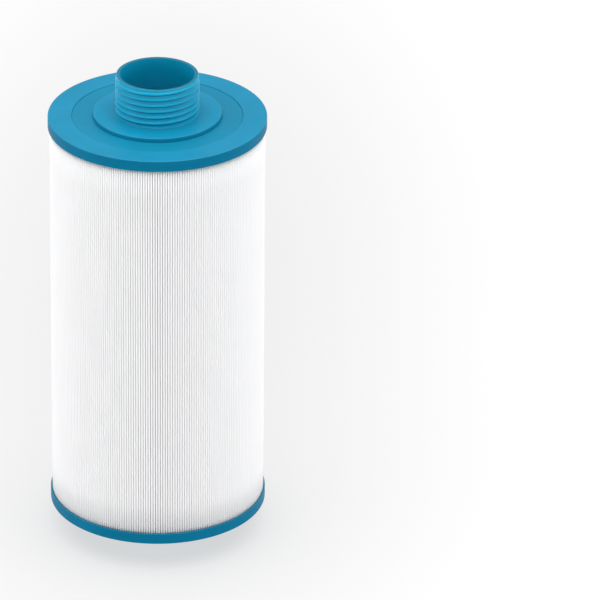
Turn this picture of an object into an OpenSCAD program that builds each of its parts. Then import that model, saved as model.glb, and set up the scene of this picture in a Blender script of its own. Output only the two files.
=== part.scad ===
// Screw-in pleated filter cartridge for a spa.
// +Z is up, with the threaded neck on top. The origin is on the axis, at the flat
// outer face of the handle that the cartridge stands on. Millimetres.

/* [Body] */
// Length between the two outer end faces, without the neck and the handle
body_length = 245; // [160:1:400]
// Diameter of the end caps
cap_d = 125.5; // [120:0.5:160]
// Height of an end cap's side wall
cap_h = 6.4; // [5.5:0.1:12]
// Thickness of an end cap's face
cap_face_t = 2; // [1.6:0.1:3]
// Thickness of an end cap's side wall
cap_wall = 0.9; // [0.6:0.1:2]
// Diameter of the round plate set into each end cap
plate_d = 98; // [90:0.5:100]
// How far the plate's face lies below the cap's face
plate_recess = 0.25; // [0.1:0.05:0.5]

/* [Neck] */
// Outside diameter over the crests of the thread
thread_d = 48.26; // [47.8:0.01:50]
// Distance from one turn of the thread to the next
thread_pitch = 3.63; // [3:0.01:4]
// Outside diameter of the neck at the root of the thread
root_d = 47.2; // [46:0.1:47.4]
// Diameter of the bore through the neck
bore_d = 42.6; // [36:0.1:43]
// Height of the neck above its flange
neck_h = 23.5; // [22:0.5:32]
// Diameter of the flange at the foot of the neck
flange_d = 73.8; // [64:0.2:84]
// Height of the flange above the cap's face
flange_h = 2.2; // [1:0.1:4]

/* [Handle] */
// Length of the handle over its two legs
handle_length = 61; // [45:1:80]
// Width of the strap
handle_width = 12.5; // [10:0.5:25]
// Height of the handle above the cap's face
handle_h = 17; // [12:0.5:30]
// Thickness of the strap
strap_t = 2.7; // [2.4:0.1:4]
// Outer radius of the two bends
bend_r = 7; // [5:0.5:10]

/* [Media and core] */
// Number of pleats
pleat_count = 273; // [60:1:300]
// Depth of the grooves between the outer folds
groove_depth = 1.2; // [0.4:0.1:2]
// Outside diameter of the core
core_d = 57; // [56:0.5:60]
// Wall thickness of the core
core_wall = 2.5; // [2.2:0.1:2.8]
// Number of slots round the core
slots_round = 12; // [6:2:16]
// Height of a slot in the core
slot_h = 16; // [8:1:24]
// Width of a slot in the core
slot_w = 7; // [3:0.5:8]

/* [Hidden] */
$fn = 96;

// Colours
cap_colour = [0.20, 0.62, 0.77];
plate_colour = [0.09, 0.56, 0.70];
neck_colour = [0.15, 0.58, 0.73];
potting_colour = [0.16, 0.50, 0.62];
media_colour = [0.96, 0.96, 0.97];
seam_colour = [0.88, 0.88, 0.84];
core_colour = [0.90, 0.91, 0.92];

// Clearances and small features
slip = 0.05;             // between parts that slide together
edge = 0.4;              // chamfer on the outer edges
overcut = 1;             // how far a cutter runs past what it cuts
key_w = 3;               // width of the step that holds a plate under its cap's face
potting_t = 2;           // potting between a cap's face and the ends of the pleats
foot_r = 1;              // fillet between the neck and its flange

// Levels along the axis
top_face = handle_h + body_length;
flange_top = top_face + flange_h;
rim = flange_top + neck_h;
media_bottom = handle_h + cap_face_t + potting_t;
media_top = top_face - cap_face_t - potting_t;

// The core's two halves and its end plug
core_r = core_d / 2;
core_bore_r = core_r - core_wall;
plug_rim_t = 1.5;
plug_depth = 10;
plug_wall = 2;
core_bottom = media_bottom + plug_rim_t;
core_joint = (core_bottom + media_top) / 2;
lap_h = 5;
lap_r = core_bore_r + core_wall / 2;
slot_land = 6;
half_length = media_top - core_joint;
end_band = 14;           // unslotted wall at the outer end of each half
joint_band = 8;          // unslotted wall next to the joint
slot_rows = floor((half_length - end_band - joint_band + slot_land) / (slot_h + slot_land));
slot_pitch = (half_length - end_band - joint_band + slot_land) / slot_rows;

// The neck's spigot, which runs down into the core
spigot_r = core_bore_r - slip;
spigot_wall = 2.3;
spigot_depth = 14;

// The thread's ridge, which rises to the right
ridge_low = 2;           // middle of the ridge's lower end above the flange
ridge_high = 1.2;        // middle of its upper end below the rim
ridge_turns = (neck_h - ridge_low - ridge_high) / thread_pitch;
ridge_start = -198;      // angle of its lower end
ridge_steps = 40;        // steps in each turn
ridge_root_w = 1.5;
ridge_crest_w = 0.6;
ridge_foot_in = 0.15;    // how far the feet of its flanks lie inside the neck's wall
ridge_bury = 0.6;        // how deep the whole ridge runs into the wall
ridge_fade = 0.1;        // part of a turn over which each end rises from the wall

// The handle's legs and the tongues that hold them in the plate
rib_w = 2;
rib_h = 1.5;
tongue_t = 1.9;
tongue_w = 9;
tongue_h = cap_face_t + 1.7;
barb_h = 1.3;
barb_reach = 0.7;
leg_mid = (handle_length - strap_t) / 2;

// The pleats' outer folds, and the bonded seam in the media
pleat_r = cap_d / 2 - cap_wall - slip;
seam_w = 1.4;
seam_depth = 22;
seam_inset = 0.6;        // how far the seam lies inside the outer folds
seam_r = pleat_r - seam_inset;

// Places children that are drawn with their outer face at z = 0 and their inside above it
module at_handle_end() {
    translate([0, 0, handle_h]) children();
}

module at_threaded_end() {
    translate([0, 0, top_face]) mirror([0, 0, 1]) children();
}

module tube(outer_r, inner_r, height) {
    difference() {
        cylinder(r = outer_r, h = height);
        translate([0, 0, -overcut]) cylinder(r = inner_r, h = height + 2 * overcut);
    }
}

// Moulded pan: a ring-shaped face with a side wall, stepped inside for the plate
module end_cap() {
    outer_r = cap_d / 2;
    face_r = plate_d / 2;
    rotate_extrude()
        polygon([
            [face_r + edge / 2, 0], [outer_r - edge, 0], [outer_r, edge],
            [outer_r, cap_h], [outer_r - cap_wall, cap_h], [outer_r - cap_wall, cap_face_t],
            [face_r + key_w, cap_face_t], [face_r + key_w, cap_face_t / 2],
            [face_r, cap_face_t / 2], [face_r, edge / 2],
        ]);
}

// Round plate with a thinner rim that the cap's face holds down
module end_plate() {
    face_r = plate_d / 2 - slip;
    rotate_extrude()
        polygon([
            [0, plate_recess], [face_r - edge / 2, plate_recess],
            [face_r, plate_recess + edge / 2], [face_r, cap_face_t / 2],
            [face_r + key_w, cap_face_t / 2], [face_r + key_w, cap_face_t],
            [0, cap_face_t],
        ]);
}

// Disc of cast resin that seals the ends of the pleats and the core
module end_potting() {
    translate([0, 0, cap_face_t]) cylinder(r = cap_d / 2 - cap_wall, h = potting_t);
}

// One ring of the ridge's corners, at a number of turns from its lower end
function ridge_ring(turn) =
    let (
        rise = min(1, turn / ridge_fade, (ridge_turns - turn) / ridge_fade),
        inner = root_d / 2 - ridge_bury,
        foot = root_d / 2 - ridge_foot_in,
        crest = foot + (thread_d / 2 - foot) * rise,
        angle = ridge_start + 360 * turn,
        middle = flange_top + ridge_low + thread_pitch * turn,
        corners = [
            [inner, -ridge_root_w / 2], [foot, -ridge_root_w / 2],
            [crest, -ridge_crest_w / 2], [crest, ridge_crest_w / 2],
            [foot, ridge_root_w / 2], [inner, ridge_root_w / 2],
        ]
    )
    [for (c = corners) [c[0] * cos(angle), c[0] * sin(angle), middle + c[1]]];

module thread_ridge() {
    rings = round(ridge_turns * ridge_steps);
    sides = 6;
    points = [for (i = [0:rings]) each ridge_ring(ridge_turns * i / rings)];
    walls = [
        for (i = [0:rings - 1], k = [0:sides - 1])
            let (a = i * sides + k, b = i * sides + (k + 1) % sides)
            each [[a, b, a + sides], [b, b + sides, a + sides]]
    ];
    first_end = [for (k = [1:sides - 2]) [0, k + 1, k]];
    last = rings * sides;
    last_end = [for (k = [1:sides - 2]) [last, last + k, last + k + 1]];
    polyhedron(points, concat(walls, first_end, last_end));
}

// Threaded neck, flange and spigot in one moulding
module threaded_neck() {
    root_r = root_d / 2;
    bore_r = bore_d / 2;
    flange_r = flange_d / 2;
    seat = top_face - plate_recess;
    color(neck_colour) union() {
        rotate_extrude()
            difference() {
                polygon([
                    [bore_r, seat], [bore_r, rim - edge], [bore_r + edge, rim],
                    [root_r - edge, rim], [root_r, rim - edge],
                    [root_r, flange_top + foot_r], [root_r + foot_r, flange_top],
                    [flange_r - edge, flange_top],
                    [flange_r, flange_top - edge], [flange_r, seat],
                    [spigot_r, seat], [spigot_r, seat - spigot_depth],
                    [spigot_r - spigot_wall, seat - spigot_depth],
                    [spigot_r - spigot_wall, seat],
                ]);
                translate([root_r + foot_r, flange_top + foot_r]) circle(r = foot_r);
            }
        thread_ridge();
    }
}

module threaded_end_plate() {
    color(plate_colour) at_threaded_end()
        difference() {
            end_plate();
            cylinder(r = spigot_r + slip, h = cap_face_t + overcut);
        }
}

module threaded_end_cap() {
    color(cap_colour) at_threaded_end() end_cap();
}

module threaded_end_potting() {
    color(potting_colour) at_threaded_end()
        difference() {
            end_potting();
            cylinder(r = spigot_r, h = cap_face_t + potting_t + overcut);
        }
}

// Slots through both walls of a core half, above its slotted length's lower end
module core_slots(bottom) {
    for (row = [0:slot_rows - 1], turn = [0:slots_round / 2 - 1])
        translate([0, 0, bottom + row * slot_pitch])
            rotate([0, 0, turn * 360 / slots_round])
                translate([-core_r - overcut, -slot_w / 2, 0])
                    cube([2 * (core_r + overcut), slot_w, slot_h]);
}

module core_upper() {
    color(core_colour) difference() {
        translate([0, 0, core_joint]) tube(core_r, core_bore_r, half_length);
        translate([0, 0, core_joint - overcut])
            cylinder(r = lap_r + slip, h = lap_h + slip + overcut);
        core_slots(core_joint + joint_band);
    }
}

module core_lower() {
    color(core_colour) difference() {
        union() {
            translate([0, 0, core_bottom]) tube(core_r, core_bore_r, half_length);
            translate([0, 0, core_joint - overcut]) tube(lap_r, core_bore_r, lap_h + overcut);
        }
        core_slots(core_bottom + end_band);
    }
}

// Cup that closes the lower end of the core and keeps the resin out of it
module core_end_plug() {
    plug_r = core_bore_r - slip;
    color(core_colour)
        translate([0, 0, media_bottom])
            rotate_extrude()
                polygon([
                    [0, 0], [core_r, 0], [core_r, plug_rim_t], [plug_r, plug_rim_t],
                    [plug_r, plug_depth], [plug_r - plug_wall, plug_depth],
                    [plug_r - plug_wall, plug_rim_t], [0, plug_rim_t],
                ]);
}

function pleat_outline() = [
    for (i = [0:pleat_count - 1], fold = [0, 1])
        let (
            r = pleat_r - fold * groove_depth,
            angle = 90 + 360 * (i + fold / 2) / pleat_count
        )
        [r * cos(angle), r * sin(angle)]
];

// The folded pack as one solid: grooved outside, round inside, open where it is seamed
module pleated_media() {
    height = media_top - media_bottom;
    color(media_colour)
        translate([0, 0, media_bottom])
            difference() {
                linear_extrude(height) polygon(pleat_outline());
                translate([0, 0, -overcut]) cylinder(r = core_r + slip, h = height + 2 * overcut);
                translate([-seam_w / 2 - slip, seam_r - seam_depth - slip, -overcut])
                    cube([seam_w + 2 * slip, seam_depth + 2 * seam_inset, height + 2 * overcut]);
            }
}

module media_seam() {
    color(seam_colour)
        translate([-seam_w / 2, seam_r - seam_depth, media_bottom])
            cube([seam_w, seam_depth, media_top - media_bottom]);
}

// Outline of an arch with its crown at y = 0 and its legs above it
module arch(length, height, r) {
    translate([-length / 2, r]) square([length, height - r]);
    translate([-length / 2 + r, 0]) square([length - 2 * r, r + slip]);
    for (side = [-1, 1]) translate([side * (length / 2 - r), r]) circle(r = r);
}

// Tongue of one leg, with its barb outside, drawn from the handle's own level
module tongue(side) {
    foot = handle_h + plate_recess;
    reach = handle_h + tongue_h;
    inner = handle_h + cap_face_t;
    translate([side * leg_mid - tongue_t / 2, -tongue_w / 2, foot - slip])
        cube([tongue_t, tongue_w, reach - foot + slip]);
    translate([side * leg_mid, 0, 0])
        rotate([90, 0, 0])
            linear_extrude(tongue_w, center = true)
                polygon([
                    [0, inner], [side * (tongue_t / 2 + barb_reach), inner],
                    [side * tongue_t / 2, inner + barb_h], [0, inner + barb_h],
                ]);
}

module handle_end_potting() {
    color(potting_colour) difference() {
        at_handle_end() end_potting();
        for (side = [-1, 1]) tongue(side);
    }
}

module handle_end_cap() {
    color(cap_colour) at_handle_end() end_cap();
}

module handle_end_plate() {
    color(plate_colour) difference() {
        at_handle_end() end_plate();
        for (side = [-1, 1])
            translate([side * leg_mid - tongue_t / 2 - slip, -tongue_w / 2 - slip, 0])
                cube([tongue_t + 2 * slip, tongue_w + 2 * slip, handle_h + cap_face_t + overcut]);
    }
}

// Bent strap that stands on the plate, with a rib inside each leg
module handle() {
    foot = handle_h + plate_recess;
    color(neck_colour) union() {
        rotate([90, 0, 0])
            linear_extrude(handle_width, center = true)
                difference() {
                    arch(handle_length, foot, bend_r);
                    translate([0, strap_t])
                        arch(handle_length - 2 * strap_t, foot, bend_r - strap_t);
                }
        for (side = [-1, 1]) {
            translate([side * (leg_mid - rib_h) - strap_t / 2, -rib_w / 2, strap_t / 2])
                cube([strap_t, rib_w, foot - strap_t / 2]);
            tongue(side);
        }
    }
}

threaded_neck();
threaded_end_plate();
threaded_end_cap();
threaded_end_potting();
core_upper();
core_lower();
core_end_plug();
pleated_media();
media_seam();
handle_end_potting();
handle_end_cap();
handle_end_plate();
handle();
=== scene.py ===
"""Looks of a screw-in pleated filter cartridge for a spa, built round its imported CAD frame.

The shapes are drawn in millimetres on the cartridge's axis and made into meshes in metres.
Levels and radii that the frame gives are read from it; the finer sizes are named below.
"""

import math
import random

import bmesh
import bpy
from mathutils import Matrix, Vector, noise


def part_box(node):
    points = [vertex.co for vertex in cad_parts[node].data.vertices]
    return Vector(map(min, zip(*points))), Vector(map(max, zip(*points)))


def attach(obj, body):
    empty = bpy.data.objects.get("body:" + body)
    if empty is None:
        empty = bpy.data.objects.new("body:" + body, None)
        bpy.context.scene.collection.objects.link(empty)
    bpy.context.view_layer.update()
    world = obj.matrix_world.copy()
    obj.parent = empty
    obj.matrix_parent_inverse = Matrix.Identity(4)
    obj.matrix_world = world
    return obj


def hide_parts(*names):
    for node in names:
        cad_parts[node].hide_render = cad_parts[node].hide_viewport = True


MM = 0.001
BODY = "root"
TURN = 2 * math.pi
# Points of a mesh that lie nearer to each other than this, in millimetres, are merged
MERGE = 0.001

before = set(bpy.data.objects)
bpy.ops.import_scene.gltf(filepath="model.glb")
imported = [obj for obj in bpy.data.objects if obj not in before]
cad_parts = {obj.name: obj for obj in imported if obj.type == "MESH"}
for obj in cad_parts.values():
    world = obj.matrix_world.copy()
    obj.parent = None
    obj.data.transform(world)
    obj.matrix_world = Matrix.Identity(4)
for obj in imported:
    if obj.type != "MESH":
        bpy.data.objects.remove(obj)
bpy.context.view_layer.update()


def level(node, end, axis=2):
    """Lowest (end 0) or highest (end 1) millimetre of a CAD node along an axis."""
    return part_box(node)[end][axis] / MM


# Levels along the axis
HANDLE_FACE = level("handle_end_cap", 0)
TOP_FACE = level("threaded_end_cap", 1)
RIM = level("threaded_neck", 1)
SPIGOT_BOTTOM = level("threaded_neck", 0)
MEDIA_BOTTOM = level("pleated_media", 0)
MEDIA_TOP = level("pleated_media", 1)

# Sizes of the caps and the plates set into them
CAP_R = level("threaded_end_cap", 1, axis=0)
CAP_H = level("handle_end_cap", 1) - HANDLE_FACE
FACE_T = level("handle_end_plate", 1) - HANDLE_FACE
CAP_WALL = 0.9
PLATE_R = 49.0
PLATE_RECESS = 0.25
STEP_W = 3.0
SLIP = 0.05

# Radii of the rounded edges
EDGE_SOFT = 0.45
EDGE_MEDIUM = 0.3
EDGE_CRISP = 0.2
EDGE_SHARP = 0.1
STRAP_EDGE = 0.4

# Sizes of the neck, and the height of the plain band under its rim
NECK_H = 23.5
ROOT_R = 23.45
BORE_R = 21.3
RIM_BAND = 0.45
FLANGE_R = 36.9
FLANGE_TOP = RIM - NECK_H
SEAT = TOP_FACE - PLATE_RECESS
CORE_BORE_R = 26.0
SPIGOT_WALL = 2.3
FOOT_FILLET = 1.0

# The thread: its ridge's ends lie this far above the flange and below the rim
CREST_R = 24.13
PITCH = 3.63
RIDGE_LOW = 2.0
RIDGE_HIGH = 1.2
RIDGE_START = -198 / 360
RIDGE_TURNS = (NECK_H - RIDGE_LOW - RIDGE_HIGH) / PITCH
# Part of a turn over which each end rises from the wall
RIDGE_FADE = 0.1
# How far the crest lies below the ridge's middle, and how far its flanks reach from the crest
RIDGE_CREST_LOW = 0.35
RIDGE_ABOVE = 1.1
RIDGE_BELOW = 0.25
# How deep the wall leans in under the next ridge, as a share of the ridge, and the height of its strip
# of painted shade
RIDGE_RELIEF = 0.45
PAINTED_SHADE_H = 0.6

# Where the tints of one moulding meet; the neck's wall is lighter than its flange for painted light,
# and a cap's side darker than its face for painted shade
FLANGE_TINT_UP = 0.5
RIM_TINT_IN = 0.25
RIM_TINT_DOWN = 0.3
PAINTED_SHADE_SIDE_IN = 0.05

# Sizes of the handle
HANDLE_HALF = level("handle", 1, axis=0)
HANDLE_HALF_W = level("handle", 1, axis=1)
STRAP_T = 2.7
BEND_R = 7.0
RIB_HALF_W = 1.0
RIB_H = 1.5
RIB_TRACE = 0.02
TONGUE_T = 1.9
TONGUE_W = 9.0
TONGUE_TOP = level("handle", 1)
BARB_H = 1.3
BARB_REACH = 0.7
LEG_MID = HANDLE_HALF - STRAP_T / 2

# The painted shadow on the floor round the cartridge, in metres: half width, half length, and its
# middle's way behind the axis
PAINTED_SHADOW_HALF_W = 0.3
PAINTED_SHADOW_HALF_L = 0.85
PAINTED_SHADOW_BEHIND = 0.32

# Sizes of the folded media and its seam
PLEATS = 273
PLEAT_R = level("pleated_media", 1, axis=0)
PLEAT_INSET = 0.05
CORE_R = 28.5
SHEET_T = 0.26
FOLD_HALF_W = 0.58
INNER_FOLD_R = 0.166
SEAM_HALF_W = 0.7
SEAM_IN = level("media_seam", 0, axis=1)
SEAM_OUT = level("media_seam", 1, axis=1)

# Room for the seam: gap beside it, radius from which the pleats make way, and how far round, in radians
PUSH_GAP = 0.03
PUSH_FROM_R = 29.5
PUSH_SPAN = 0.5


# ---------------------------------------------------------------- mesh helpers


def mesh_object(name, points, faces, smooth=True, shades=None):
    """A mesh from points in millimetres, with coinciding points merged and normals turned outwards.

    shades gives each face's material, as its place in the piece's list.
    """
    mesh = bpy.data.meshes.new(name)
    mesh.from_pydata([Vector(p) * MM for p in points], [], faces)
    if shades:
        mesh.polygons.foreach_set("material_index", shades)
    bm = bmesh.new()
    bm.from_mesh(mesh)
    bmesh.ops.remove_doubles(bm, verts=bm.verts, dist=MERGE * MM)
    bmesh.ops.recalc_face_normals(bm, faces=bm.faces)
    bm.to_mesh(mesh)
    bm.free()
    for face in mesh.polygons:
        face.use_smooth = smooth
    piece = bpy.data.objects.new(name, mesh)
    bpy.context.scene.collection.objects.link(piece)
    return piece


def rounded(corners, steps=5):
    """Closed outline through (x, y, radius) corners, with an arc at each corner that has a radius."""
    outline = []
    for i, (x, y, radius) in enumerate(corners):
        corner = Vector((x, y))
        if radius == 0:
            outline.append(corner)
            continue
        before = (Vector(corners[i - 1][:2]) - corner).normalized()
        after = (Vector(corners[(i + 1) % len(corners)][:2]) - corner).normalized()
        half = before.angle(after) / 2
        centre = corner + (before + after).normalized() * radius / math.sin(half)
        first = corner + before * radius / math.tan(half) - centre
        last = corner + after * radius / math.tan(half) - centre
        sweep = first.angle_signed(last)
        for k in range(steps + 1):
            outline.append(centre + Matrix.Rotation(-sweep * k / steps, 2) @ first)
    return outline


def lathe(name, outline, segments=256):
    """Surface of revolution of a closed outline of (radius, height) points."""
    points, rings = [], []
    for r, z in outline:
        if r < MERGE:
            rings.append([len(points)] * segments)
            points.append((0, 0, z))
            continue
        rings.append(list(range(len(points), len(points) + segments)))
        for k in range(segments):
            a = TURN * (k / segments)
            points.append((r * math.cos(a), r * math.sin(a), z))
    faces = []
    for ring, above in zip(rings, rings[1:] + rings[:1]):
        for k in range(segments):
            j = (k + 1) % segments
            face = list(dict.fromkeys((ring[k], ring[j], above[j], above[k])))
            if len(face) > 2:
                faces.append(face)
    return mesh_object(name, points, faces)


def weighted(piece):
    """Keeps flat faces flat beside their small rounded edges."""
    normals = piece.modifiers.new("weighted", "WEIGHTED_NORMAL")
    normals.weight = 100
    normals.keep_sharp = True
    return piece


def applied(piece):
    """Replaces the piece's mesh with the result of its modifiers."""
    graph = bpy.context.evaluated_depsgraph_get()
    mesh = bpy.data.meshes.new_from_object(piece.evaluated_get(graph))
    piece.modifiers.clear()
    piece.data = mesh
    return piece


def joined(name, pieces):
    """One object that holds the meshes of several."""
    bm = bmesh.new()
    for piece in pieces:
        bm.from_mesh(piece.data)
        bpy.data.objects.remove(piece)
    mesh = bpy.data.meshes.new(name)
    bm.to_mesh(mesh)
    bm.free()
    piece = bpy.data.objects.new(name, mesh)
    bpy.context.scene.collection.objects.link(piece)
    return piece


def threaded_end(outline):
    """Outline drawn from the outer face inwards, placed at the threaded end."""
    return [(r, TOP_FACE - z) for r, z in outline]


def handle_end(outline):
    """Outline drawn from the outer face inwards, placed at the handle end."""
    return [(r, HANDLE_FACE + z) for r, z in outline]


# ---------------------------------------------------------------- materials


class Nodes:
    """Small helper that builds a material's node tree."""

    def __init__(self, name):
        self.material = bpy.data.materials.new(name)
        self.material.use_nodes = True
        self.tree = self.material.node_tree
        self.shader = self.tree.nodes["Principled BSDF"]
        self.place = self.add("ShaderNodeTexCoord").outputs["Object"]

    def add(self, kind, **settings):
        node = self.tree.nodes.new(kind)
        for key, value in settings.items():
            setattr(node, key, value)
        return node

    def link(self, source, socket):
        self.tree.links.new(source, socket)

    def noise(self, size_mm, detail=3.0, roughness=0.5, stretch=(1, 1, 1)):
        """Noise with features of about size_mm, stretched by a factor along each axis."""
        mapping = self.add("ShaderNodeMapping")
        mapping.inputs["Scale"].default_value = [1 / (size_mm * MM * s) for s in stretch]
        self.link(self.place, mapping.inputs["Vector"])
        texture = self.add("ShaderNodeTexNoise")
        texture.inputs["Scale"].default_value = 1.0
        texture.inputs["Detail"].default_value = detail
        texture.inputs["Roughness"].default_value = roughness
        self.link(mapping.outputs["Vector"], texture.inputs["Vector"])
        return texture.outputs["Fac"]

    def ramp(self, source, low, high, start=0.3, end=0.7):
        """Maps start..end of a value onto low..high."""
        node = self.add("ShaderNodeMapRange")
        for key, value in zip(("From Min", "From Max", "To Min", "To Max"), (start, end, low, high)):
            node.inputs[key].default_value = value
        self.link(source, node.inputs["Value"])
        return node.outputs["Result"]

    def mix(self, factor, first, second):
        """Colour between two colours, by a factor."""
        node = self.add("ShaderNodeMix", data_type="RGBA")
        self.link(factor, node.inputs["Factor"])
        for key, value in (("A", first), ("B", second)):
            socket = next(s for s in node.inputs if s.name == key and s.type == "RGBA")
            if isinstance(value, (tuple, list)):
                socket.default_value = (*value, 1)
            else:
                self.link(value, socket)
        return next(s for s in node.outputs if s.type == "RGBA")

    def bump(self, height, depth_mm, normal=None):
        """Relief of depth_mm from a height, on top of another relief."""
        node = self.add("ShaderNodeBump")
        node.inputs["Distance"].default_value = depth_mm * MM
        self.link(height, node.inputs["Height"])
        if normal:
            self.link(normal, node.inputs["Normal"])
        return node.outputs["Normal"]


def scaled(colour, factor):
    """A lighter or darker colour of the same hue."""
    return tuple(c * factor for c in colour)


def moulded_plastic(name, colour, roughness=0.36, specular=0.2):
    """Satin injection-moulded ABS: faint flow mottling, fine grain and a soft waviness."""
    n = Nodes(name)
    mottle = n.ramp(n.noise(28, detail=4), 0, 1)
    n.link(n.mix(mottle, scaled(colour, 0.94), scaled(colour, 1.05)), n.shader.inputs["Base Color"])
    n.link(n.ramp(n.noise(6), roughness - 0.04, roughness + 0.05), n.shader.inputs["Roughness"])
    wave = n.bump(n.noise(14, detail=1), 0.012)
    grain = n.bump(n.noise(0.35, detail=2), 0.003, wave)
    n.link(grain, n.shader.inputs["Normal"])
    n.shader.inputs["Specular IOR Level"].default_value = specular
    return n.material


def nonwoven(name):
    """White spunbonded polyester: matted fibres, faint thick and thin patches."""
    n = Nodes(name)
    cloud = n.ramp(n.noise(7, detail=4, stretch=(1, 1, 2.5)), 0, 1)
    fibre_a = n.noise(0.22, detail=3, roughness=0.6, stretch=(1, 1, 9))
    fibre_b = n.noise(0.3, detail=3, roughness=0.6, stretch=(4, 4, 1.4))
    white, shade = (0.92, 0.92, 0.93), (0.89, 0.893, 0.902)
    tint = n.mix(cloud, shade, white)
    strand = n.mix(n.ramp(fibre_a, 0, 1), tint, white)
    n.link(strand, n.shader.inputs["Base Color"])
    n.link(n.ramp(fibre_b, 0.78, 0.92), n.shader.inputs["Roughness"])
    relief = n.bump(fibre_a, 0.012)
    n.link(n.bump(fibre_b, 0.008, relief), n.shader.inputs["Normal"])
    n.shader.inputs["Specular IOR Level"].default_value = 0.25
    n.shader.inputs["Sheen Weight"].default_value = 0.15
    n.shader.inputs["Sheen Roughness"].default_value = 0.6
    return n.material


def polypropylene(name):
    """Natural white polypropylene of the core, slightly waxy."""
    n = Nodes(name)
    cloud = n.ramp(n.noise(20, detail=4), 0, 1)
    n.link(n.mix(cloud, (0.74, 0.76, 0.78), (0.82, 0.84, 0.85)), n.shader.inputs["Base Color"])
    n.link(n.ramp(n.noise(3), 0.38, 0.52), n.shader.inputs["Roughness"])
    n.link(n.bump(n.noise(0.6, detail=2), 0.006), n.shader.inputs["Normal"])
    n.shader.inputs["Specular IOR Level"].default_value = 0.45
    return n.material


def cast_resin(name):
    """Poured polyurethane: soft ripples, paler and darker."""
    n = Nodes(name)
    ripple = n.noise(5, detail=4)
    tint = n.mix(n.ramp(ripple, 0, 1), (0.015, 0.17, 0.29), (0.03, 0.23, 0.37))
    n.link(tint, n.shader.inputs["Base Color"])
    n.link(n.ramp(n.noise(1.5), 0.3, 0.5), n.shader.inputs["Roughness"])
    n.link(n.bump(ripple, 0.05), n.shader.inputs["Normal"])
    return n.material


def hot_melt(name):
    """Bead of milky hot-melt adhesive."""
    n = Nodes(name)
    ripple = n.noise(2.5, detail=4, stretch=(1, 1, 3))
    tint = n.mix(n.ramp(ripple, 0, 1), (0.66, 0.65, 0.58), (0.8, 0.79, 0.73))
    n.link(tint, n.shader.inputs["Base Color"])
    n.link(n.ramp(ripple, 0.25, 0.45), n.shader.inputs["Roughness"])
    n.link(n.bump(ripple, 0.06), n.shader.inputs["Normal"])
    return n.material


def floor_with_painted_shadow(name):
    """Matt pale sheet with a painted soft shadow round the cartridge, that glows a little so that
    shadows stay pale.
    """
    painted_shadow_grey, far_grey = (0.13,) * 3, (0.24,) * 3
    n = Nodes(name)
    reach = n.add("ShaderNodeMapping")
    reach.inputs["Scale"].default_value = (1 / PAINTED_SHADOW_HALF_W, 1 / PAINTED_SHADOW_HALF_L, 0)
    reach.inputs["Location"].default_value = (0, -PAINTED_SHADOW_BEHIND / PAINTED_SHADOW_HALF_L, 0)
    n.link(n.place, reach.inputs["Vector"])
    distance = n.add("ShaderNodeVectorMath", operation="LENGTH")
    n.link(reach.outputs["Vector"], distance.inputs[0])
    painted_shadow = n.add("ShaderNodeMapRange", interpolation_type="SMOOTHSTEP")
    n.link(distance.outputs["Value"], painted_shadow.inputs["Value"])
    grey = n.mix(painted_shadow.outputs["Result"], painted_shadow_grey, far_grey)
    n.link(grey, n.shader.inputs["Base Color"])
    n.shader.inputs["Emission Color"].default_value = (1, 1, 1, 1)
    n.shader.inputs["Emission Strength"].default_value = 0.63
    n.shader.inputs["Roughness"].default_value = 0.9
    n.shader.inputs["Specular IOR Level"].default_value = 0.1
    return n.material


# ---------------------------------------------------------------- camera, light and floor


def make_camera():
    """Long lens, 26.5 degrees above the cartridge, which stands left of the middle."""
    distance, elevation, roll = 4.0, math.radians(26.54), math.radians(-0.51)
    aim = Vector((0.0824, 0, 0.1445))
    back = Vector((0, -math.cos(elevation), math.sin(elevation)))
    right, up = Vector((1, 0, 0)), Vector((0, math.sin(elevation), math.cos(elevation)))
    turned_right = right * math.cos(roll) - up * math.sin(roll)
    turned_up = right * math.sin(roll) + up * math.cos(roll)
    camera = bpy.data.cameras.new("camera")
    camera.sensor_width = 36
    camera.lens = 414.6
    camera.clip_end = 60
    holder = bpy.data.objects.new("camera", camera)
    matrix = Matrix((turned_right, turned_up, back)).transposed().to_4x4()
    matrix.translation = aim + back * distance
    holder.matrix_world = matrix
    bpy.context.scene.collection.objects.link(holder)
    bpy.context.scene.camera = holder


def make_softbox(name, place, aim, size, watts):
    """Rectangular lamp at a place, turned towards its aim."""
    lamp = bpy.data.lights.new(name, "AREA")
    lamp.shape = "RECTANGLE"
    lamp.size, lamp.size_y = size
    lamp.energy = watts
    holder = bpy.data.objects.new(name, lamp)
    holder.location = place
    holder.rotation_euler = (Vector(aim) - Vector(place)).to_track_quat("-Z", "Y").to_euler()
    bpy.context.scene.collection.objects.link(holder)


def make_light():
    """Even soft light from above, a softbox low on each side and a pale surround."""
    world = bpy.data.worlds.new("studio")
    world.use_nodes = True
    world.node_tree.nodes["Background"].inputs["Color"].default_value = (1, 1, 1, 1)
    world.node_tree.nodes["Background"].inputs["Strength"].default_value = 0.2
    bpy.context.scene.world = world
    overhead = bpy.data.lights.new("overhead", "SUN")
    overhead.energy = 4.4
    overhead.angle = math.radians(90)
    bpy.context.scene.collection.objects.link(bpy.data.objects.new("overhead", overhead))
    for name, side in (("left_side", -1), ("right_side", 1)):
        make_softbox(name, (side * 2.4, -0.6, 0.5), aim=(0, 0, 0.15), size=(1.4, 1.0), watts=9)
    bpy.context.scene.view_settings.view_transform = "Standard"


def make_floor():
    """Wide round floor that turns up into a low wall far away."""
    radius, wall, bend, sheet_t = 11500, 2500, 2000, 100
    outline = rounded([
        (0, 0, 0), (radius, 0, bend), (radius, wall, 0),
        (radius + sheet_t, wall, 0), (radius + sheet_t, -sheet_t, 0), (0, -sheet_t, 0),
    ], steps=16)
    floor = lathe("floor", outline, segments=128)
    floor.data.materials.append(floor_with_painted_shadow("floor"))


# ---------------------------------------------------------------- neck


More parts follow.
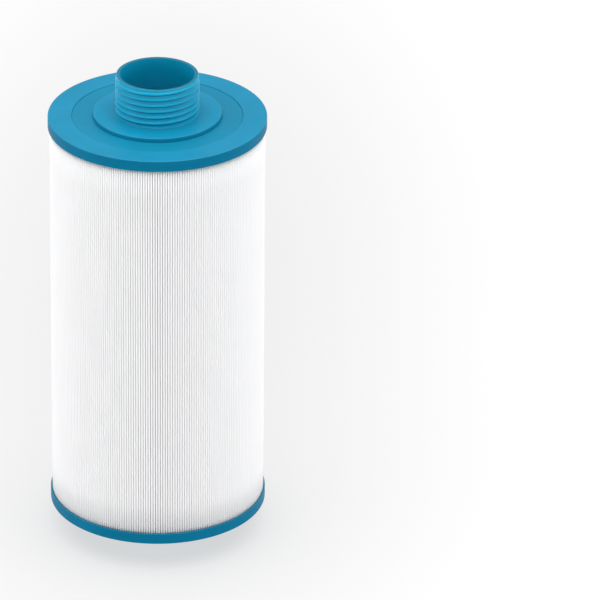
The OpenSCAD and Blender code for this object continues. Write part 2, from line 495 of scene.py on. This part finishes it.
def ridge_profile():
    """One pitch of the thread: (height from the crest, share of the ridge's depth).

    The ridge is steep below and round above, and the wall leans inwards up to the next ridge.
    """
    steps = 8
    below = [(-RIDGE_BELOW * math.sin(a), math.cos(a)) for a in (1.1, 0.6)]
    above = []
    for k in range(steps + 1):
        a = k / steps * math.pi / 2
        above.append((RIDGE_ABOVE * math.sin(a), math.cos(a)))
    foot = PITCH - RIDGE_BELOW
    strip = foot - PAINTED_SHADE_H
    wall = []
    for z in ((RIDGE_ABOVE + strip) / 2, strip, foot):
        wall.append((z, -RIDGE_RELIEF * (z - RIDGE_ABOVE) / (foot - RIDGE_ABOVE)))
    return below + above + wall


def neck_outline(wall_low, wall_high):
    """The neck without its threaded wall: over the rim, down the bore, and up to the flange's foot."""
    spigot_r = CORE_BORE_R - SLIP
    spigot_bore_r = spigot_r - SPIGOT_WALL
    # The corners on the wall only give its direction, so they are left out
    foot_and_flange = rounded([
        (ROOT_R, wall_low + 1, 0), (ROOT_R, FLANGE_TOP, FOOT_FILLET), (FLANGE_R, FLANGE_TOP, EDGE_SOFT),
        (FLANGE_R, SEAT, EDGE_SHARP), (spigot_r, SEAT, 0), (spigot_r, SPIGOT_BOTTOM, EDGE_MEDIUM),
        (spigot_bore_r, SPIGOT_BOTTOM, EDGE_MEDIUM), (spigot_bore_r, SEAT, EDGE_MEDIUM),
    ])[1:]
    rim_and_bore = rounded([
        (BORE_R, SEAT, EDGE_MEDIUM), (BORE_R, RIM, EDGE_CRISP), (ROOT_R, RIM, EDGE_MEDIUM),
        (ROOT_R, wall_high - 1, 0),
    ])[:-1]
    return rim_and_bore[::-1] + foot_and_flange[::-1]


def make_neck():
    """Threaded neck, flange and spigot: one moulding, whose wall's rows follow the thread's ridge."""
    columns = 288
    wall_low, wall_high = FLANGE_TOP + FOOT_FILLET, RIM - RIM_BAND
    profile = ridge_profile()
    pitch_rows = len(profile)
    wall_rows = pitch_rows * (math.ceil((wall_high - wall_low) / PITCH) + 3)
    # The strip of painted shade under each ridge runs from a pitch's last point but one up to the next
    # pitch's second
    painted_shade_rows = (pitch_rows - 2, pitch_rows - 1, 0)

    def wall_place(row, column):
        """Radius and height of a place on the wall; what would lie past its ends lies on them.

        The rows start two pitches below the ridge, so that the first and the last lie on the ends.
        """
        crossing, place = divmod(row, pitch_rows)
        along = column / columns + crossing - 2
        off, share = profile[place]
        fade = max(0.0, min(1.0, along / RIDGE_FADE, (RIDGE_TURNS - along) / RIDGE_FADE))
        z = FLANGE_TOP + RIDGE_LOW - RIDGE_CREST_LOW + PITCH * along + off
        return ROOT_R + (CREST_R - ROOT_R) * share * fade, max(wall_low, min(wall_high, z))

    rows = [[wall_place(row, column) for column in range(columns)] for row in range(wall_rows)]
    rows += [[corner] * columns for corner in neck_outline(wall_low, wall_high)]
    points = []
    for row in rows:
        for column, (r, z) in enumerate(row):
            a = TURN * (RIDGE_START + column / columns)
            points.append((r * math.cos(a), r * math.sin(a), z))

    faces, shades = [], []
    for row in range(len(rows)):
        above = (row + 1) % len(rows)
        on_wall = 0 < above < wall_rows
        in_painted_shade = on_wall and row % pitch_rows in painted_shade_rows
        for column in range(columns):
            near, far, after = row, above, column + 1
            if after == columns:
                after = 0
                # Once round, the ridge has risen by a pitch
                if on_wall:
                    near, far = (min(r + pitch_rows, wall_rows - 1) for r in (row, above))
            places = ((row, column), (near, after), (far, after), (above, column))
            faces.append([r * columns + c for r, c in places])
            shades.append(int(in_painted_shade))
    return mesh_object("neck", points, faces, shades=shades)


# ---------------------------------------------------------------- caps and plates


def cap_outline():
    """Ring-shaped pan, from its outer face inwards, stepped inside for the plate."""
    wall_in = CAP_R - CAP_WALL
    key_r = PLATE_R + STEP_W
    return rounded([
        (PLATE_R, 0, EDGE_MEDIUM), (CAP_R, 0, EDGE_SOFT), (CAP_R, CAP_H, EDGE_CRISP),
        (wall_in, CAP_H, EDGE_MEDIUM), (wall_in, FACE_T, 0), (key_r, FACE_T, 0),
        (key_r, FACE_T / 2, 0), (PLATE_R, FACE_T / 2, 0),
    ])


def plate_outline(hole_r):
    """Round plate with a thin rim under the cap's face; hole_r is 0 for a closed one."""
    face_r = PLATE_R - SLIP
    return rounded([
        (hole_r, PLATE_RECESS, 0), (face_r, PLATE_RECESS, EDGE_MEDIUM), (face_r, FACE_T / 2, 0),
        (face_r + STEP_W, FACE_T / 2, 0), (face_r + STEP_W, FACE_T, 0), (hole_r, FACE_T, 0),
    ])


def box_piece(name, low, high):
    """Plain box, used as a cutter."""
    xs, ys, zs = zip(low, high)
    points = [(x, y, z) for z in zs for y in ys for x in xs]
    faces = [(0, 1, 3, 2), (4, 5, 7, 6), (0, 1, 5, 4), (2, 3, 7, 6), (0, 2, 6, 4), (1, 3, 7, 5)]
    return mesh_object(name, points, faces, smooth=False)


def make_handle_plate():
    """Closed plate with a slot for each of the handle's tongues."""
    plate = lathe("handle_plate", handle_end(plate_outline(0)))
    half_t, half_w, overcut = TONGUE_T / 2 + SLIP, TONGUE_W / 2 + SLIP, 1
    for side in (-1, 1):
        low = (side * LEG_MID - half_t, -half_w, HANDLE_FACE - overcut)
        high = (side * LEG_MID + half_t, half_w, HANDLE_FACE + FACE_T + overcut)
        cutter = box_piece("slot_cutter", low, high)
        cut = plate.modifiers.new("slot", "BOOLEAN")
        cut.operation, cut.solver, cut.object = "DIFFERENCE", "EXACT", cutter
        applied(plate)
        bpy.data.objects.remove(cutter)
    return plate


# ---------------------------------------------------------------- handle


def strap_path():
    """(x, z, outward normal, rib's share of its full height) along the strap, right leg to left.

    The rib fades out before the bend's end. A trace of it runs along the crown.
    """
    bend = BEND_R - STRAP_T / 2
    foot = HANDLE_FACE + PLATE_RECESS
    leg_steps, bend_steps, fade_rate, crown_x = 8, 16, 1.4, 12
    right = []
    for k in range(leg_steps + 1):
        right.append((LEG_MID, foot - (foot - BEND_R) * k / leg_steps, (1, 0), 1.0))
    for k in range(1, bend_steps + 1):
        a = math.pi / 2 * k / bend_steps
        share = 0.5 + 0.5 * math.cos(math.pi * min(1, fade_rate * k / bend_steps))
        right.append((
            HANDLE_HALF - BEND_R + bend * math.cos(a), BEND_R - bend * math.sin(a),
            (math.cos(a), -math.sin(a)), max(RIB_TRACE, share),
        ))
    crown = [(x, STRAP_T / 2, (0, -1), RIB_TRACE) for x in (crown_x, 0)]
    half = right + crown
    mirrored = [(-x, z, (-nx, nz), share) for x, z, (nx, nz), share in reversed(half[:-1])]
    return half + mirrored


def strap_section(rib):
    """Outline across the strap: (offset along the normal, place across), with the rib inside."""
    t, w = STRAP_T / 2, HANDLE_HALF_W
    low_rib = 0.5
    fillet = EDGE_MEDIUM * min(1, rib / low_rib)
    top = -t - rib
    return rounded([
        (t, -w, STRAP_EDGE), (t, w, STRAP_EDGE), (-t, w, STRAP_EDGE),
        (-t, RIB_HALF_W, fillet), (top, RIB_HALF_W, fillet),
        (top, -RIB_HALF_W, fillet), (-t, -RIB_HALF_W, fillet), (-t, -w, STRAP_EDGE),
    ], steps=4)


def make_strap():
    """Bent strap: its section swept along its path."""
    points, rings = [], []
    for x, z, (nx, nz), share in strap_path():
        ring = []
        for off, y in strap_section(RIB_H * share):
            ring.append(len(points))
            points.append((x + nx * off, y, z + nz * off))
        rings.append(ring)
    faces = [rings[0], rings[-1]]
    for ring, after in zip(rings, rings[1:]):
        for k in range(len(ring)):
            j = (k + 1) % len(ring)
            faces.append((ring[k], ring[j], after[j], after[k]))
    return mesh_object("strap", points, faces)


def make_tongue(side):
    """Tongue of one leg with its barb outside, hidden in the plate and the resin."""
    foot = HANDLE_FACE + PLATE_RECESS - SLIP
    inner = HANDLE_FACE + FACE_T
    t, w = TONGUE_T / 2, TONGUE_W / 2
    outline = [(-t, foot), (t, foot), (t, inner), (t + BARB_REACH, inner), (t, inner + BARB_H),
               (t, TONGUE_TOP), (-t, TONGUE_TOP)]
    points = [(side * (LEG_MID + x), y, z) for y in (-w, w) for x, z in outline]
    n = len(outline)
    faces = [tuple(range(n)), tuple(range(n, 2 * n))]
    faces += [(k, (k + 1) % n, n + (k + 1) % n, n + k) for k in range(n)]
    return mesh_object("tongue", points, faces, smooth=False)


def make_handle():
    """The strap and its two tongues."""
    return joined("handle_strap", [make_strap(), make_tongue(-1), make_tongue(1)])


# ---------------------------------------------------------------- media


def pleat_line():
    """Middle line of the folded sheet seen along the axis, as (angle from the seam, radius).

    Each pleat is a round outer fold, two nearly radial walls and a tight inner fold. The first
    and the last wall run along the two faces of the seam.
    """
    pitch = TURN / PLEATS
    mid_r = PLEAT_R - SHEET_T / 2
    fold = FOLD_HALF_W - SHEET_T / 2
    fold_r = mid_r - fold
    inner_r = CORE_R + SLIP + SHEET_T / 2 + INNER_FOLD_R
    outer_steps, inner_steps = 6, 3
    line = [("end", 0.0, SEAM_OUT), ("end", 0.0, SEAM_IN)]
    for i in range(PLEATS):
        middle = pitch * (i + 0.5)
        for k in range(inner_steps + 1):
            a = math.pi * k / inner_steps
            r = inner_r - INNER_FOLD_R * math.sin(a)
            line.append(("fold", middle - INNER_FOLD_R * math.cos(a) / inner_r, r))
        if i == PLEATS - 1:
            break
        middle = pitch * (i + 1)
        for k in range(outer_steps + 1):
            a = math.pi * k / outer_steps
            r = fold_r + fold * math.sin(a)
            line.append(("fold", middle - fold * math.cos(a) / fold_r, r))
    line += [("end", TURN, SEAM_IN), ("end", TURN, SEAM_OUT)]
    return line


def sheet_faces(middle):
    """Outline of the sheet round its middle line: out along one face and back along the other."""
    last = len(middle) - 1
    sharpest = 0.6
    left, right = [], []
    for i, p in enumerate(middle):
        incoming, outgoing = p - middle[max(0, i - 1)], middle[min(last, i + 1)] - p
        if i == 0:
            incoming = outgoing
        if i == last:
            outgoing = incoming
        along = incoming.normalized() + outgoing.normalized()
        along.normalize()
        across = Vector((along.y, -along.x, 0))
        stretch = 1 / max(sharpest, incoming.normalized().dot(along))
        half = across * SHEET_T / 2 * stretch
        left.append(p + half)
        right.append(p - half)
    return left + right[::-1]


def make_media():
    """One thin sheet folded into pleats, open only where its two ends meet the seam.

    Each pleat wanders sideways and varies in depth by a little, so that no two are alike.
    """
    clear = SEAM_HALF_W + SLIP + SHEET_T / 2
    pitch = TURN / PLEATS
    rows, wander, unevenness = 13, 0.02, 0.032
    random.seed(5)
    lean = [random.uniform(-1, 1) for _ in range(PLEATS + 1)]

    def placed(kind, angle, r, z):
        """Point of the sheet's middle, with the pleats beside the seam pushed aside for it."""
        if kind == "end":
            side = 1 if angle < math.pi else -1
            return Vector((side * clear, r, z))
        natural = pitch - FOLD_HALF_W / r
        needed = (clear + SHEET_T + PUSH_GAP) / r
        room = max(0.0, needed - natural)
        room *= min(1.0, max(0.0, (r - PUSH_FROM_R) / (SEAM_IN - PUSH_FROM_R)))
        off = angle if angle < math.pi else angle - TURN
        push = room * max(0.0, 1 - abs(off) / PUSH_SPAN) ** 2
        off += math.copysign(push, off)
        i = round(angle / pitch)
        outer = max(0.0, (r - CORE_R) / (PLEAT_R - CORE_R))
        sideways = noise.noise((i * 0.37, z / 90, lean[i] * 3)) * wander * outer
        outwards = noise.noise((i * 0.61 + 40, z / 120, lean[i] * 2)) * unevenness * outer
        off += sideways / r
        rr = r - PLEAT_INSET * outer + outwards
        return Vector((math.sin(off) * rr, math.cos(off) * rr, z))

    line = pleat_line()
    count = len(line)
    per_row = 2 * count
    points, faces = [], []
    for k in range(rows):
        z = MEDIA_BOTTOM + (MEDIA_TOP - MEDIA_BOTTOM) * k / (rows - 1)
        middle = [placed(kind, angle, r, z) for kind, angle, r in line]
        points += sheet_faces(middle)
    for k in range(rows - 1):
        for j in range(per_row):
            n = (j + 1) % per_row
            a, b = k * per_row, (k + 1) * per_row
            faces.append((a + j, a + n, b + n, b + j))
    for base in (0, (rows - 1) * per_row):
        for j in range(count - 1):
            faces.append((base + j, base + j + 1, base + per_row - 2 - j, base + per_row - 1 - j))
    length = sum((b - a).length for a, b in zip(middle, middle[1:]))
    return mesh_object("media", points, faces), length


def make_seam():
    """Bead that bonds the sheet's two ends, a little uneven along its length."""
    rows, wave, unevenness = 60, 6, 0.12
    slimness, inset, side_share = 0.94, 0.15, 0.4
    corner_r = 0.6
    section = rounded([
        (-SEAM_HALF_W, SEAM_IN, corner_r), (SEAM_HALF_W, SEAM_IN, corner_r),
        (SEAM_HALF_W, SEAM_OUT, corner_r), (-SEAM_HALF_W, SEAM_OUT, corner_r),
    ])
    points, faces = [], []
    for k in range(rows):
        z = MEDIA_BOTTOM + (MEDIA_TOP - MEDIA_BOTTOM) * k / (rows - 1)
        for x, y in section:
            uneven = noise.noise((x, 0, z / wave)) * unevenness
            outer = (y - SEAM_IN) / (SEAM_OUT - SEAM_IN)
            points.append((x * (slimness + uneven * side_share), y - outer * (inset - uneven), z))
    n = len(section)
    for k in range(rows - 1):
        for j in range(n):
            i = (j + 1) % n
            faces.append((k * n + j, k * n + i, (k + 1) * n + i, (k + 1) * n + j))
    faces.append(tuple(range(n)))
    faces.append(tuple(range((rows - 1) * n, rows * n)))
    return mesh_object("seam_bead", points, faces)


# ---------------------------------------------------------------- the model


def finish_piece(piece, material, node):
    """Gives a piece its material and its place in the frame."""
    piece.data.materials.append(material)
    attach(piece, BODY)
    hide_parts(node)


def paint_faces(piece, material, chosen):
    """Gives one more material to the faces whose middle's radius and height are chosen."""
    piece.data.materials.append(material)
    index = len(piece.data.materials) - 1
    for face in piece.data.polygons:
        x, y, z = face.center / MM
        if chosen(math.hypot(x, y), z):
            face.material_index = index


def on_flange(r, z):
    """Whether a place on the neck's moulding belongs to the flange or to the spigot under it."""
    return z < FLANGE_TOP + FLANGE_TINT_UP


def on_rim_face(r, z):
    """Whether a place on the neck's moulding belongs to its rim's flat face."""
    return BORE_R < r < ROOT_R - RIM_TINT_IN and z > RIM - RIM_TINT_DOWN


def on_painted_shade_side(r, z):
    """Whether a place on a cap belongs to its side, which takes painted shade."""
    return r > CAP_R - PAINTED_SHADE_SIDE_IN


def paint_node(node, material):
    """Gives a CAD node that stays its material."""
    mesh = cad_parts[node].data
    mesh.materials.clear()
    mesh.materials.append(material)


make_camera()
make_light()
make_floor()

# A lighter copy of the moulding's blue than the flange's, for the neck's wall, rim edges and bore:
# painted light on the upright wall
painted_light_neck_blue = moulded_plastic("painted_light_neck_blue", (0.002, 0.34, 0.55), 0.34)
# A much darker copy of the blue for the strip under each thread ridge: painted shade
painted_shade_root_blue = moulded_plastic("painted_shade_root_blue", (0.000, 0.11, 0.21), 0.5)
flange_blue = moulded_plastic("flange_blue", (0.004, 0.22, 0.37), 0.34)
rim_blue = moulded_plastic("rim_blue", (0.014, 0.15, 0.23), 0.34)
plate_blue = moulded_plastic("plate_blue", (0.001, 0.18, 0.30), 0.40)
cap_blue = moulded_plastic("cap_blue", (0.006, 0.20, 0.34), 0.36)
# A darker copy of the caps' blue, with less gloss, for their sides: painted shade
painted_shade_wall_blue = moulded_plastic("painted_shade_wall_blue", (0.000, 0.16, 0.29), 0.42, specular=0.05)
handle_blue = moulded_plastic("handle_blue", (0.003, 0.18, 0.30), 0.36)
white_sheet = nonwoven("white_nonwoven")
core_white = polypropylene("core_white")
resin = cast_resin("potting_resin")
adhesive = hot_melt("seam_adhesive")

# The faces at the thread's root take the neck's second material, a dark blue that paints the shade
# under each ridge
neck = make_neck()
finish_piece(neck, painted_light_neck_blue, "threaded_neck")
neck.data.materials.append(painted_shade_root_blue)
paint_faces(neck, flange_blue, on_flange)
paint_faces(neck, rim_blue, on_rim_face)
cap_top = weighted(lathe("neck_end_cap", threaded_end(cap_outline())))
finish_piece(cap_top, cap_blue, "threaded_end_cap")
# The cap's side takes painted shade
paint_faces(cap_top, painted_shade_wall_blue, on_painted_shade_side)
plate_top = weighted(lathe("neck_plate", threaded_end(plate_outline(CORE_BORE_R))))
finish_piece(plate_top, plate_blue, "threaded_end_plate")
cap_bottom = weighted(lathe("strap_end_cap", handle_end(cap_outline())))
finish_piece(cap_bottom, cap_blue, "handle_end_cap")
# The cap's side takes painted shade
paint_faces(cap_bottom, painted_shade_wall_blue, on_painted_shade_side)
finish_piece(weighted(make_handle_plate()), plate_blue, "handle_end_plate")
finish_piece(weighted(make_handle()), handle_blue, "handle")

media, sheet_length = make_media()
finish_piece(media, white_sheet, "pleated_media")
seam = make_seam()
finish_piece(seam, adhesive, "media_seam")

for node in ("core_upper", "core_lower", "core_end_plug"):
    paint_node(node, core_white)
for node in ("threaded_end_potting", "handle_end_potting"):
    paint_node(node, resin)
